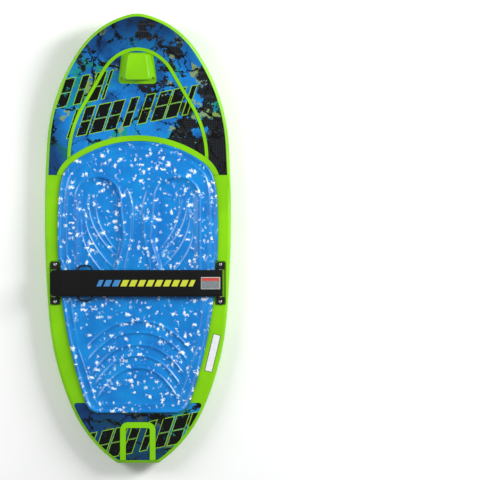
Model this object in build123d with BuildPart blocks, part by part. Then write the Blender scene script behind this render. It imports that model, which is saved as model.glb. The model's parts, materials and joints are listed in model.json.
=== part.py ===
from build123d import *
import os

# A kneeboard for towed water sport: a foam-filled moulded board with a knee pad, a moulded tow hook
# near the nose and a padded thigh strap with a locking ring. Millimetres. +X is the rider's right,
# +Y points to the nose, +Z is up, and the origin is on the floor below the middle of the board.

# board form
board_length = 1270.0
board_width = 532.0
outline_joints = (  # where the outline's arcs meet, as shares of the half width and half length
    (0.081, 0.996),
    (0.618, 0.843),
    (0.969, 0.422),
    (0.947, -0.350),
    (0.698, -0.758),
)
tail_flat_half = 58.0
tail_corner_radius = 24.0
deck_height = 64.0
nose_deck_rise = 62.0
nose_deck_length = 435.0  # how far back from the nose tip the deck starts to rise
nose_rocker = 84.0
nose_rocker_length = 515.0
tail_rocker = 22.0
tail_rocker_length = 395.0
deck_rail_radius = 10.0
bottom_rail_radius = 21.0
skin = 4.5
clear = 5.0  # how far cutting shapes run past what they cut

# knee pad and its recess
side_band = 41.0  # deck left bare beside the pad
pad_front_setback = 358.0  # from the nose tip
pad_tail_setback = 142.0  # from the tail end
pad_tail_half = 117.0
pad_tail_flare = 20.0  # the outline's last joint, out from the tail's half width
pad_front_joints = (  # shares of the pad's half width, and distances back from its front
    (0.82, 60.0),
    (0.958, 105.0),
    (0.996, 157.0),
)
pad_flank_joint = (0.908, 253.0)  # the same, ahead of its tail
pad_corner_radius = 45.0
pad_recess_depth = 9.0
pad_stand = 8.0  # how far the pad stands above the deck
pad_gap = 0.6
pad_edge_radius = 5.0

# raised ribs and graphic films
rib_height = 2.2
film_thickness = 0.6
film_gap = 0.5
rim_width = 9.0
crest_rib_width = 9.0
crest_setback = 100.0  # crest of the arched rib, from the nose tip
crest_foot_inset = 71.0  # foot of the arched rib, in from the widest outline
crest_joints = (  # shares of the foot's half width, and distances back from the crest
    (0.24, 12.0),
    (0.50, 62.0),
    (0.78, 155.0),
    (1.0, 300.0),
)
crest_run_on = 40.0  # how far the arched region runs on under the pad
pad_surround = 16.0
film_tail_end_y = 181.0
inner_film_end_y = 232.0
grip_rib_width = 16.0
grip_half_width = 50.0
grip_rib_setback = 116.0  # from the tail end
grip_corner_radius = 22.0
tail_film_setback = 171.0
tail_film_corner = 7.0

# tow hook
hook_setback = 111.0
hook_length = 84.0
hook_height = 40.0
hook_base_front = 43.0  # half widths
hook_base_rear = 54.0
hook_top_front = 24.0
hook_top_rear = 35.0
hook_top_front_inset = 2.0
hook_top_rear_inset = 8.0
hook_corner_radius = 9.0
hook_edge_radius = 3.0
handle_seat_radius = 14.5
handle_seat_inset = 3.0
hook_film_gap = 1.5

# hull channels and lifting grip
channel_depth = 2.5
channel_width = 9.0
channel_lines = (  # each a row of (share of the half width, station)
    ((0.49, 570.0), (0.60, 454.0), (0.67, 311.0), (0.69, 190.0)),
    ((0.65, 520.0), (0.75, 420.0), (0.80, 311.0), (0.82, 150.0)),
    ((0.29, 176.0), (0.36, 90.0), (0.40, -30.0), (0.36, -130.0), (0.30, -216.0)),
    ((0.65, -272.0), (0.60, -395.0), (0.51, -504.0), (0.43, -580.0)),
    ((0.81, -201.0), (0.77, -286.0), (0.70, -395.0), (0.62, -500.0)),
)
grip_recess_half = 31.0
grip_recess_length = 92.0
grip_recess_depth = 13.0
grip_roof_radius = 4.0
finger_count = 5
finger_pitch = 16.0
finger_rib_radius = 3.0

# strap anchors
strap_y = -125.0
strap_width = 75.0
anchor_inset = 32.0  # pins, in from the widest outline
pin_radius = 4.0
pin_lift = 9.0  # pin's centre above its pocket floor
pin_seat = 6.0  # how far the pin enters each foot
pin_chamfer = 0.5
pocket_depth = 4.0
pocket_width = 30.0
pocket_margin = 3.0
pocket_corner = 6.0
foot_gap = 1.5  # between strap edge and foot
foot_length = 21.0
foot_width = 24.0
foot_height = 8.0
foot_wall = 3.0
foot_hump_length = 8.0
foot_corner_radius = 3.0
hump_corner_radius = 1.0
screw_setback = 7.5  # screw axis, in from the foot's outer end
screw_radius = 2.5
screw_head_radius = 4.4
screw_head_height = 2.8
screw_head_round = 1.2
screw_length = 24.0
screw_clearance = 0.3
screw_slot = 1.2
insert_radius = 5.0
insert_length = 18.0

# foam filling ports
plug_radius = 14.0
plug_gap = 0.15
plug_places = ((0.0, 110.0), (0.0, -330.0))

# strap stack
web = 2.0
inner_web = 1.8
cover = 2.0
padding = 8.0
patch = 0.8
patch_margin = 6.0  # inside the lock strap's edges and end
patch_corner_radius = 3.0
loop_patch_gap = 3.0  # from the ring loop
hook_patch_gap = 8.0  # from the left pin's axis
loop_gap = 0.3
flap_gap = 0.3
ring_lift = 5.0  # ring's centre plane above the pad
ring_bar_radius = 2.5
ring_offset = 65.5  # first ring bar, in from the anchor pin
ring_width = 39.0
ring_length = 98.0
ring_corner_radius = 12.0
inner_width = 71.0
tongue_length = 66.0
padding_gap = 6.0
padding_length = 215.0
padding_edge_radius = 3.0
padding_inset = 1.0
flap_overhang = 12.5  # free end of the strap, past the left pin
strap_end_radius = 9.0
strap_bend_inset = 68.0  # where the strap starts down to its pin
label_thickness = 0.4
strap_label_width = 34.0
strap_label_length = 54.0
strap_label_inset = 1.0
side_label_length = 108.0
side_label_width = 22.0
side_label_turn = -13.5
side_label_inset = 54.0
side_label_y = -323.0
side_label_corner = 2.0

# places and levels that follow from the sizes above
nose_y = board_length / 2
tail_y = -board_length / 2
half_width = board_width / 2
tall = 300.0  # more than any height, for prisms that are cut back
pad_half_width = half_width - side_band
pad_front_y = nose_y - pad_front_setback
pad_tail_y = tail_y + pad_tail_setback
pad_floor = deck_height - pad_recess_depth
pad_top = deck_height + pad_stand
pocket_floor = deck_height - pocket_depth
pin_x = half_width - anchor_inset
pin_z = pocket_floor + pin_lift
strap_loop_radius = pin_radius + loop_gap + web
ring_z = pad_top + ring_lift
ring_left_x = -pin_x + ring_offset
ring_right_x = ring_left_x + ring_width
ring_loop_radius = ring_bar_radius + loop_gap + inner_web
tongue_top = ring_z + ring_loop_radius
strap_bottom = tongue_top + patch + flap_gap + patch
strap_top = strap_bottom + web
cover_top = strap_top + cover
strap_bend_x = pin_x - strap_bend_inset
flap_end_x = -pin_x - flap_overhang
tongue_end_x = ring_right_x + tongue_length
padding_left_x = tongue_end_x + padding_gap
foot_inner = strap_width / 2 + foot_gap
foot_outer = foot_inner + foot_length
screw_offset = foot_outer - screw_setback
strap_plane = Plane.XZ.offset(-strap_y)
sides = (("left", -1), ("right", 1))
same_place = 0.5  # edges whose middles are nearer than this are one edge


def arc_rise(reach, length, rise):
    """Height gained at a reach along an arc that starts level and gains rise over length."""
    radius = (length**2 + rise**2) / (2 * rise)
    return radius - (radius**2 - max(0.0, reach) ** 2) ** 0.5


def deck_level(y):
    return deck_height + arc_rise(y - nose_y + nose_deck_length, nose_deck_length, nose_deck_rise)


def bottom_level(y):
    nose = arc_rise(y - nose_y + nose_rocker_length, nose_rocker_length, nose_rocker)
    return nose + arc_rise(tail_y + tail_rocker_length - y, tail_rocker_length, tail_rocker)


# side profiles
def deck_line(lift=0.0):
    """The deck seen from the side, run on past both ends."""
    level = deck_height + lift
    start = nose_y - nose_deck_length
    Line((tail_y - clear, level), (start, level))
    TangentArc((start, level), (nose_y, level + nose_deck_rise), tangent=(1, 0))


def bottom_line(lift=0.0):
    """The running surface seen from the side: tail rocker, flat, nose rocker."""
    flat_tail = tail_y + tail_rocker_length
    flat_nose = nose_y - nose_rocker_length
    TangentArc((flat_tail, lift), (tail_y, tail_rocker + lift), tangent=(-1, 0))
    Line((flat_tail, lift), (flat_nose, lift))
    TangentArc((flat_nose, lift), (nose_y, nose_rocker + lift), tangent=(1, 0))


def board_profile(inset=0.0):
    with BuildSketch(Plane.YZ) as profile:
        with BuildLine():
            deck_line()
            bottom_line()
            Line((nose_y, deck_height + nose_deck_rise), (nose_y, nose_rocker))
            Polyline((tail_y - clear, deck_height), (tail_y - clear, tail_rocker), (tail_y, tail_rocker))
        make_face()
        if inset:
            offset(amount=-inset)
    return profile.sketch


def strip_profile(line, low, high, ends):
    """The strip between two copies of a side line."""
    with BuildSketch(Plane.YZ) as strip:
        with BuildLine():
            line(low)
            line(high)
            for y, z in ends:
                Line((y, z + low), (y, z + high))
        make_face()
    return strip.sketch


def deck_strip(low, high):
    ends = ((tail_y - clear, deck_height), (nose_y, deck_height + nose_deck_rise))
    return strip_profile(deck_line, low, high, ends)


def bottom_strip(low, high):
    return strip_profile(bottom_line, low, high, ((tail_y, tail_rocker), (nose_y, nose_rocker)))


# plan outlines
def arc_chain(start, joints):
    """Tangent arcs from a level start on the centre line through each joint in turn."""
    arc = TangentArc(start, joints[0], tangent=(1, 0))
    for joint in joints[1:]:
        arc = TangentArc(arc @ 1, joint, tangent=arc % 1)


def mirrored_plan(top_y, joints, bottom_y, corner_radius, grow):
    """A closed outline from one side's arcs, with two rounded corners at its lower end."""
    with BuildSketch() as plan:
        with BuildLine():
            arc_chain((0, top_y), joints)
            Line(joints[-1], (0, bottom_y))
            mirror(about=Plane.YZ)
        make_face()
        fillet(plan.vertices().group_by(Axis.Y)[0].sort_by(Axis.X)[0], radius=corner_radius)
        fillet(plan.vertices().group_by(Axis.Y)[0].sort_by(Axis.X)[-1], radius=corner_radius)
        if grow:
            offset(amount=grow)
    return plan.sketch


def anchor_plan(side, grow=0.0):
    """The rounded rectangle of a strap anchor's pocket."""
    pocket_length = 2 * (foot_outer + pocket_margin)
    with BuildSketch() as plan:
        with Locations((side * pin_x, strap_y)):
            RectangleRounded(pocket_width + 2 * grow, pocket_length + 2 * grow, pocket_corner + grow)
    return plan.sketch


def board_plan(inset=0.0):
    """Rounded nose, widest a little ahead of the middle, tapering to a blunt tail."""
    joints = [(across * half_width, along * nose_y) for across, along in outline_joints]
    return mirrored_plan(nose_y, joints + [(tail_flat_half, tail_y)], tail_y, tail_corner_radius, -inset)


def pad_outline(grow=0.0):
    """Arched front, straight flanks and a narrower squared tail."""
    flank_share, flank_ahead = pad_flank_joint
    joints = [(share * pad_half_width, pad_front_y - back) for share, back in pad_front_joints]
    joints += [(flank_share * pad_half_width, pad_tail_y + flank_ahead)]
    joints += [(pad_tail_half + pad_tail_flare, pad_tail_y)]
    return mirrored_plan(pad_front_y, joints, pad_tail_y, pad_corner_radius, grow)


def pad_plan(grow=0.0):
    """The pad's outline with a notch beside each strap anchor."""
    with BuildSketch() as plan:
        add(pad_outline(grow))
        for _, side in sides:
            add(anchor_plan(side, pad_gap - grow), mode=Mode.SUBTRACT)
    return plan.sketch


def crest_plan(grow=0.0):
    """The region inside the arched rib between the two nose graphics."""
    foot_x = half_width - crest_foot_inset
    crest_y = nose_y - crest_setback
    end_y = film_tail_end_y - crest_run_on
    joints = [(share * foot_x, crest_y - back) for share, back in crest_joints]
    with BuildSketch() as plan:
        with BuildLine():
            arc_chain((0, crest_y), joints)
            Polyline(joints[-1], (foot_x, end_y), (0, end_y))
            mirror(about=Plane.YZ)
        make_face()
        if grow:
            offset(amount=grow)
    return plan.sketch


def grip_plan(grow=0.0):
    """The region inside the tail's U-shaped rib."""
    half = grip_half_width + grow
    top = tail_y + grip_rib_setback + grow
    with BuildSketch() as plan:
        with Locations((0, tail_y)):
            Rectangle(2 * half, 2 * (top - tail_y))
        fillet(plan.vertices(), radius=grip_corner_radius + grow)
    return plan.sketch


def station_band(low_y, high_y):
    """Everything between two stations, wider than the board."""
    with BuildSketch() as band:
        with Locations((0, (low_y + high_y) / 2)):
            Rectangle(2 * board_width, high_y - low_y)
    return band.sketch


def film(name, regions):
    """A thin film lying on the deck over plan regions, each joined, cut or crossed in turn."""
    with BuildPart() as piece:
        with BuildSketch():
            for region, mode in regions:
                add(region, mode=mode)
        extrude(amount=tall)
        extrude(deck_strip(0, film_thickness), amount=board_width, both=True, mode=Mode.INTERSECT)
    save(piece.part, name)


def raised(region, low, high):
    """A rib over a plan region, its top following the deck."""
    with BuildPart() as piece:
        with BuildSketch():
            add(region)
        extrude(amount=tall)
        extrude(deck_strip(low, high), amount=board_width, both=True, mode=Mode.INTERSECT)
    return piece.part


def save(part, name):
    part.label = name
    export_step(part, f"parts/{name}.step")


os.makedirs("parts", exist_ok=True)


# board form, at any inset
def board_form(inset=0.0):
    """The moulded form without its details, taken in all round by inset."""
    with BuildPart() as form:
        with BuildSketch(Plane.XY.offset(-clear)):
            add(board_plan(inset))
        extrude(amount=tall)
        extrude(board_profile(inset), amount=board_width, both=True, mode=Mode.INTERSECT)
        walls = form.faces().filter_by(lambda f: abs(f.normal_at(f.center()).Z) < 0.01)
        rails = ShapeList({e for wall in walls for e in wall.edges()}).filter_by(Axis.Z, reverse=True)
        middles = [(edge, edge @ 0.5) for edge in rails]
        upper = [e for e, m in middles if m.Z > (deck_level(m.Y) + bottom_level(m.Y)) / 2]
        fillet(upper, radius=deck_rail_radius - inset)
        lower = [m for e, m in middles if e not in upper]
        rounded = [e for e in form.edges() if min((e @ 0.5 - m).length for m in lower) < same_place]
        fillet(rounded, radius=bottom_rail_radius - inset)
    return form.part


def grip_recess(grow=0.0):
    """The finger recess under the tail, open downwards and to the tail end."""
    top = tail_rocker + grip_recess_depth + grow
    half = grip_recess_half + grow
    with BuildPart() as recess:
        with BuildSketch(Plane.XY.offset(-clear)):
            with Locations((0, tail_y)):
                Rectangle(2 * half, 2 * (grip_recess_length + grow))
        extrude(amount=top + clear)
        fillet(recess.edges().filter_by(Axis.Z), radius=grip_corner_radius / 2 + grow)
        fillet(recess.faces().sort_by(Axis.Z)[-1].edges(), radius=grip_roof_radius + grow)
    return recess.part


def pocket(side, grow=0.0):
    """The shallow pocket under a strap anchor."""
    with BuildPart() as hollow:
        with BuildSketch(Plane.XY.offset(pocket_floor - grow)):
            add(anchor_plan(side, grow))
        extrude(amount=tall)
    return hollow.part


def plugs(radius, low, high):
    """A round column at each foam filling port."""
    with BuildPart() as columns:
        with BuildSketch(Plane.XY.offset(low)):
            with Locations(*plug_places):
                Circle(radius)
        extrude(amount=high - low)
    return columns.part


def screw_columns(radius, low, high, side_list=(-1, 1)):
    """A round column on each anchor screw's axis."""
    with BuildPart() as columns:
        with BuildSketch(Plane.XY.offset(low)):
            with Locations(*[(s * pin_x, strap_y + e * screw_offset) for s in side_list for e in (-1, 1)]):
                Circle(radius)
        extrude(amount=high - low)
    return columns.part


def channels():
    """The hull's shallow grooves, in mirrored pairs that follow the outline."""
    w = half_width
    with BuildPart() as grooves:
        with BuildSketch() as plan:
            for stations in channel_lines:
                with BuildLine() as line:
                    Spline(*[(share * w, y) for share, y in stations])
                trace(line_width=channel_width)
            mirror(about=Plane.YZ)
        extrude(amount=tall, both=True)
        extrude(bottom_strip(-clear, channel_depth), amount=board_width, both=True, mode=Mode.INTERSECT)
    return grooves.part


# tow hook and foam core
hook_front_y = nose_y - hook_setback
hook_rear_y = hook_front_y - hook_length
hook_deck = deck_level(hook_rear_y)
seat_y = hook_rear_y + handle_seat_inset
seat_z = hook_deck + handle_seat_radius


def hook_corners(front_half, rear_half, front_inset, rear_inset):
    front = hook_front_y - front_inset
    rear = hook_rear_y + rear_inset
    return (-rear_half, rear), (rear_half, rear), (front_half, front), (-front_half, front)


hook_base = hook_corners(hook_base_front, hook_base_rear, 0, 0)
hook_top = hook_corners(hook_top_front, hook_top_rear, hook_top_front_inset, hook_top_rear_inset)

with BuildPart() as hook:
    with BuildSketch(Plane.XY.offset(hook_deck - skin / 2)):
        Polygon(*hook_base, align=None)
    with BuildSketch(Plane.XY.offset(hook_deck + hook_height)):
        Polygon(*hook_top, align=None)
    loft()
    hook_middle = hook_deck + hook_height / 2
    fillet(hook.edges().filter_by(lambda e: abs((e @ 0.5).Z - hook_middle) < skin), radius=hook_corner_radius)
    fillet(hook.faces().sort_by(Axis.Z)[-1].edges(), radius=hook_edge_radius)
    with BuildSketch(Plane.YZ.offset(-half_width)):
        with Locations((seat_y, seat_z)):
            Circle(handle_seat_radius)
        with Locations((seat_y - handle_seat_radius, seat_z)):
            Rectangle(2 * handle_seat_radius, 2 * handle_seat_radius)
    extrude(amount=board_width, mode=Mode.SUBTRACT)

with BuildPart() as cavity:
    add(board_form(skin))
    with BuildSketch(Plane.XY.offset(pad_floor - skin)):
        add(pad_plan(pad_gap + skin))
    extrude(amount=tall, mode=Mode.SUBTRACT)
    add(grip_recess(skin), mode=Mode.SUBTRACT)
    for _, side in sides:
        add(pocket(side, skin), mode=Mode.SUBTRACT)

insert_top = pocket_floor - skin
with BuildPart() as foam:
    add(cavity.part)
    add(screw_columns(insert_radius, insert_top - insert_length, insert_top), mode=Mode.SUBTRACT)
save(foam.part, "foam_core")

# board shell
nose_ribs = crest_plan(crest_rib_width / 2)
nose_ribs -= crest_plan(-crest_rib_width / 2)
nose_ribs -= station_band(tail_y, inner_film_end_y)
pad_rim = pad_outline(pad_surround) - pad_outline(pad_gap) - station_band(tail_y, film_tail_end_y)
plan_inside_rim = board_plan(rim_width)
grip_ribs = (grip_plan() - grip_plan(-grip_rib_width)) & plan_inside_rim
first_finger = tail_y + finger_pitch
finger_z = tail_rocker + grip_recess_depth

with BuildPart() as shell:
    add(board_form())
    with BuildSketch(Plane.XY.offset(pad_floor)):
        add(pad_plan(pad_gap))
    extrude(amount=tall, mode=Mode.SUBTRACT)
    for _, side in sides:
        add(pocket(side), mode=Mode.SUBTRACT)
    add(grip_recess(), mode=Mode.SUBTRACT)
    add(channels(), mode=Mode.SUBTRACT)
    for region in (nose_ribs, pad_rim, grip_ribs):
        add(raised(region, -skin / 2, rib_height))
    add(hook.part)
    add(cavity.part, mode=Mode.SUBTRACT)
    add(plugs(plug_radius + plug_gap, 0.5 * pad_floor, tall), mode=Mode.SUBTRACT)
    add(screw_columns(screw_radius + screw_clearance, insert_top - skin, tall), mode=Mode.SUBTRACT)
    with BuildSketch(Plane.YZ.offset(-grip_recess_half)):
        with Locations(*[(first_finger + i * finger_pitch, finger_z) for i in range(finger_count)]):
            Circle(finger_rib_radius)
    extrude(amount=2 * grip_recess_half)
save(shell.part, "board_shell")

with BuildPart() as fill_plugs:
    add(plugs(plug_radius, pad_floor - skin, pad_floor))
save(fill_plugs.part, "foam_fill_plugs")

# knee pad, films and labels
with BuildPart() as knee_pad:
    with BuildSketch(Plane.XY.offset(pad_floor)):
        add(pad_plan())
    extrude(amount=pad_top - pad_floor)
    fillet(knee_pad.faces().sort_by(Axis.Z)[-1].edges(), radius=pad_edge_radius)
save(knee_pad.part, "knee_pad")

beside_rib = crest_rib_width / 2 + film_gap
with BuildSketch() as hook_foot:
    Polygon(*hook_base, align=None)
    fillet(hook_foot.vertices(), radius=hook_corner_radius)
    offset(amount=hook_film_gap)
film(
    "nose_rim_film",
    (
        (plan_inside_rim, Mode.ADD),
        (station_band(film_tail_end_y, nose_y), Mode.INTERSECT),
        (crest_plan(beside_rib), Mode.SUBTRACT),
        (hook_foot.sketch, Mode.SUBTRACT),
        (pad_outline(pad_surround + film_gap), Mode.SUBTRACT),
    ),
)
film(
    "nose_center_film",
    (
        (crest_plan(-beside_rib), Mode.ADD),
        (station_band(inner_film_end_y, nose_y), Mode.INTERSECT),
        (hook_foot.sketch, Mode.SUBTRACT),
        (pad_outline(pad_surround + film_gap), Mode.SUBTRACT),
    ),
)
with BuildSketch() as tail_graphic:
    add(plan_inside_rim)
    add(station_band(tail_y, tail_y + tail_film_setback), mode=Mode.INTERSECT)
    add(grip_plan(film_gap), mode=Mode.SUBTRACT)
    add(pad_outline(film_gap + pad_gap), mode=Mode.SUBTRACT)
    fillet(tail_graphic.vertices().group_by(Axis.Y)[-1], radius=tail_film_corner)
film("tail_film", ((tail_graphic.sketch, Mode.ADD),))
film(
    "tail_grip_film",
    (
        (plan_inside_rim, Mode.ADD),
        (grip_plan(-grip_rib_width - film_gap), Mode.INTERSECT),
    ),
)

side_label_x = half_width - side_label_inset
with BuildPart() as side_label:
    with BuildSketch(Plane.XY.offset(deck_height)):
        with Locations(Location((side_label_x, side_label_y, 0), (0, 0, side_label_turn))):
            RectangleRounded(side_label_width, side_label_length, side_label_corner)
    extrude(amount=label_thickness)
save(side_label.part, "side_label")

# strap anchors
for side_name, side in sides:
    with BuildPart() as feet:
        for end in (-1, 1):
            with BuildSketch(Plane.XY.offset(pocket_floor)):
                with Locations((side * pin_x, strap_y + end * (foot_inner + foot_length / 2))):
                    RectangleRounded(foot_width, foot_length, foot_corner_radius)
            extrude(amount=foot_height)
            with BuildSketch(Plane.XY.offset(pocket_floor)):
                with Locations((side * pin_x, strap_y + end * (foot_inner + foot_hump_length / 2))):
                    RectangleRounded(2 * (pin_radius + foot_wall), foot_hump_length, hump_corner_radius)
            extrude(amount=pin_lift + pin_radius + foot_wall)
        with BuildSketch(strap_plane):
            with Locations((side * pin_x, pin_z)):
                Circle(pin_radius)
        extrude(amount=foot_inner + pin_seat, both=True, mode=Mode.SUBTRACT)
        add(screw_columns(screw_radius + screw_clearance, 0, tall, (side,)), mode=Mode.SUBTRACT)
    save(feet.part, f"{side_name}_anchor_feet")

    with BuildPart() as pin:
        with BuildSketch(strap_plane):
            with Locations((side * pin_x, pin_z)):
                Circle(pin_radius)
        extrude(amount=foot_inner + pin_seat, both=True)
        chamfer(pin.edges(), length=pin_chamfer)
    save(pin.part, f"{side_name}_anchor_pin")

    head_seat = pocket_floor + foot_height
    with BuildPart() as screws:
        add(screw_columns(screw_head_radius, head_seat, head_seat + screw_head_height, (side,)))
        fillet(screws.faces().filter_by(Axis.Z).group_by(Axis.Z)[-1].edges(), radius=screw_head_round)
        with BuildSketch(Plane.XY.offset(head_seat + screw_head_height)):
            with Locations(*[(side * pin_x, strap_y + end * screw_offset) for end in (-1, 1)]):
                Rectangle(screw_slot, 2 * screw_radius)
                Rectangle(2 * screw_radius, screw_slot)
        extrude(amount=-screw_head_height / 2, mode=Mode.SUBTRACT)
        add(screw_columns(screw_radius, head_seat - screw_length, head_seat, (side,)))
    save(screws.part, f"{side_name}_anchor_screws")

    with BuildPart() as inserts:
        add(screw_columns(insert_radius, insert_top - insert_length, insert_top, (side,)))
        add(screw_columns(screw_radius, head_seat - screw_length, tall, (side,)), mode=Mode.SUBTRACT)
    save(inserts.part, f"{side_name}_anchor_inserts")


# strap, seen along the board
def along_strap(profile, width):
    """A piece of constant section across the strap's width."""
    with BuildPart() as piece:
        extrude(profile, amount=width / 2, both=True)
    return piece.part


tab_thickness = 2 * inner_web
tab_top = pin_z + pin_radius + loop_gap + inner_web
with BuildSketch(strap_plane) as tab_profile:
    Polygon(
        (-pin_x, tab_top - tab_thickness), (ring_left_x, ring_z - tab_thickness / 2),
        (ring_left_x, ring_z + tab_thickness / 2), (-pin_x, tab_top), align=None,
    )
    with Locations((-pin_x, pin_z)):
        Circle(pin_radius + loop_gap + inner_web)
        Circle(pin_radius + loop_gap, mode=Mode.SUBTRACT)
    with Locations((ring_left_x, ring_z)):
        Circle(ring_loop_radius)
        Circle(ring_bar_radius + loop_gap, mode=Mode.SUBTRACT)
save(along_strap(tab_profile.sketch, inner_width), "ring_tab")

with BuildPart() as ring:
    with BuildSketch(Plane.XY.offset(ring_z)):
        with Locations(((ring_left_x + ring_right_x) / 2, strap_y)):
            for grow, mode in ((ring_bar_radius, Mode.ADD), (-ring_bar_radius, Mode.SUBTRACT)):
                RectangleRounded(
                    ring_width + 2 * grow, ring_length + 2 * grow, ring_corner_radius + grow, mode=mode
                )
    extrude(amount=ring_bar_radius, both=True)
    fillet(ring.edges(), radius=ring_bar_radius - 0.1)
save(ring.part, "strap_ring")

with BuildSketch(strap_plane) as tongue_profile:
    Polygon(
        (ring_right_x, tongue_top - tab_thickness), (tongue_end_x, tongue_top - tab_thickness),
        (tongue_end_x, tongue_top), (ring_right_x, tongue_top), align=None,
    )
    with Locations((ring_right_x, ring_z)):
        Circle(ring_loop_radius)
        Circle(ring_bar_radius + loop_gap, mode=Mode.SUBTRACT)
with BuildPart() as tongue:
    extrude(tongue_profile.sketch, amount=inner_width / 2, both=True)
    fillet(tongue.edges().filter_by(Axis.Z).group_by(Axis.X)[-1], radius=strap_end_radius)
save(tongue.part, "lock_strap")


def patch_pad(low_x, high_x, low_z, width):
    with BuildPart() as pad:
        with BuildSketch(Plane.XY.offset(low_z)):
            with Locations(((low_x + high_x) / 2, strap_y)):
                RectangleRounded(high_x - low_x, width, patch_corner_radius)
        extrude(amount=patch)
    return pad.part


loop_left_x = ring_right_x + ring_loop_radius + loop_patch_gap
hook_left_x = hook_patch_gap - pin_x
patch_right_x = tongue_end_x - patch_margin
patch_width = inner_width - 2 * patch_margin
hook_patch_z = tongue_top + patch + flap_gap
save(patch_pad(loop_left_x, patch_right_x, tongue_top, patch_width), "lock_loop_patch")
save(patch_pad(hook_left_x, patch_right_x, hook_patch_z, patch_width), "flap_hook_patch")

pin_top = pin_z + strap_loop_radius
with BuildSketch(strap_plane) as webbing_profile:
    Polygon(
        (flap_end_x, strap_bottom), (strap_bend_x, strap_bottom), (pin_x, pin_top - 2 * web),
        (pin_x, pin_top), (strap_bend_x, strap_top), (flap_end_x, strap_top), align=None,
    )
    with Locations((pin_x, pin_z)):
        Circle(strap_loop_radius)
        Circle(pin_radius + loop_gap, mode=Mode.SUBTRACT)
with BuildPart() as webbing:
    extrude(webbing_profile.sketch, amount=strap_width / 2, both=True)
    fillet(webbing.edges().filter_by(Axis.Z).group_by(Axis.X)[0], radius=strap_end_radius)
save(webbing.part, "strap_webbing")

slope = (pin_top - strap_top) / (pin_x - strap_bend_x)


def on_slope(x, lift):
    """A point above the webbing's top face, on the stretch that drops to the pin."""
    return x, strap_top + slope * (x - strap_bend_x) + lift


with BuildSketch(strap_plane) as cover_profile:
    Polygon(
        (flap_end_x, strap_top), (strap_bend_x, strap_top), on_slope(pin_x, 0), on_slope(pin_x, cover),
        on_slope(strap_bend_x, cover), (flap_end_x, cover_top), align=None,
    )
with BuildPart() as strap_cover:
    extrude(cover_profile.sketch, amount=strap_width / 2, both=True)
    fillet(strap_cover.edges().filter_by(Axis.Z).group_by(Axis.X)[0], radius=strap_end_radius)
save(strap_cover.part, "strap_cover")

label_right_x = pin_x - strap_label_inset
with BuildSketch(strap_plane) as label_profile:
    Polygon(
        on_slope(label_right_x - strap_label_length, cover), on_slope(label_right_x, cover),
        on_slope(label_right_x, cover + label_thickness),
        on_slope(label_right_x - strap_label_length, cover + label_thickness), align=None,
    )
save(along_strap(label_profile.sketch, strap_label_width), "strap_label")

padding_right_x = padding_left_x + padding_length
with BuildPart() as strap_padding:
    with BuildSketch(Plane.XY.offset(strap_bottom - padding)):
        with Locations(((padding_left_x + padding_right_x) / 2, strap_y)):
            RectangleRounded(padding_length, strap_width - 2 * padding_inset, strap_end_radius)
    extrude(amount=padding)
    fillet(strap_padding.faces().sort_by(Axis.Z)[0].edges(), radius=padding_edge_radius)
save(strap_padding.part, "strap_padding")
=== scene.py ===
import bpy
import json
import math
import numpy as np
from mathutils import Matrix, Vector
from mathutils.bvhtree import BVHTree


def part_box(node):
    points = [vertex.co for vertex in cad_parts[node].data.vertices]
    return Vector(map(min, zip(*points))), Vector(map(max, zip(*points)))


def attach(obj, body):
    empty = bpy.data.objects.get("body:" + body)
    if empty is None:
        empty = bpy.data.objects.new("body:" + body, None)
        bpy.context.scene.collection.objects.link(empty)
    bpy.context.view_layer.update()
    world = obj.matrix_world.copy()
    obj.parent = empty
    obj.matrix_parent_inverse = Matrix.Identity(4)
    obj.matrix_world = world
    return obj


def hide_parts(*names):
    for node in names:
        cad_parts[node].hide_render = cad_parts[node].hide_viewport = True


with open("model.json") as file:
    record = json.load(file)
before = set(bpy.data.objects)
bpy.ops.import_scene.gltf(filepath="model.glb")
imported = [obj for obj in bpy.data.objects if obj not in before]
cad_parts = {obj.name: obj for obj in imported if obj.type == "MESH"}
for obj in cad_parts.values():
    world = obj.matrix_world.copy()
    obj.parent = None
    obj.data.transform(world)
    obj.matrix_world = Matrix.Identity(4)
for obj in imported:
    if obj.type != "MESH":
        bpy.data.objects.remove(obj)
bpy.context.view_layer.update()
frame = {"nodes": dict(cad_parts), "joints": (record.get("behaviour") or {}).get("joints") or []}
mm = 0.001


# small helpers
def linear(hexText):
    # sRGB hex to the linear values that shaders use
    parts = [int(hexText[i:i + 2], 16) / 255 for i in (1, 3, 5)]
    return [p / 12.92 if p <= 0.04045 else ((p + 0.055) / 1.055) ** 2.4 for p in parts] + [1.0]


def addNode(material, kind, inputs=None, stops=None, **settings):
    # adds one shader node: settings, then inputs as values, hex colours or links, then ramp stops
    node = material.node_tree.nodes.new("ShaderNode" + kind)
    for name, value in settings.items():
        setattr(node, name, value)
    for name, value in (inputs or {}).items():
        if isinstance(value, bpy.types.NodeSocket):
            material.node_tree.links.new(value, node.inputs[name])
        else:
            node.inputs[name].default_value = linear(value) if isinstance(value, str) else value
    for position, color in stops or ():
        fresh = node.color_ramp.elements.new(position)
        fresh.color = linear(color) if isinstance(color, str) else [color] * 3 + [1.0]
    if stops:
        for element in [e for e in node.color_ramp.elements if e.position in (0.0, 1.0)][:1]:
            node.color_ramp.elements.remove(element)
        node.color_ramp.elements.remove(node.color_ramp.elements[-1])
    return node


def newMaterial(name, **values):
    # a principled surface, with the shared frame's own coordinates for its patterns
    material = bpy.data.materials.new(name)
    material.use_nodes = True
    shader = material.node_tree.nodes["Principled BSDF"]
    for socket, value in values.items():
        shader.inputs[socket.replace("_", " ")].default_value = (
            linear(value) if isinstance(value, str) else value)
    return material, shader, addNode(material, "TexCoord").outputs["Object"]


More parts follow.
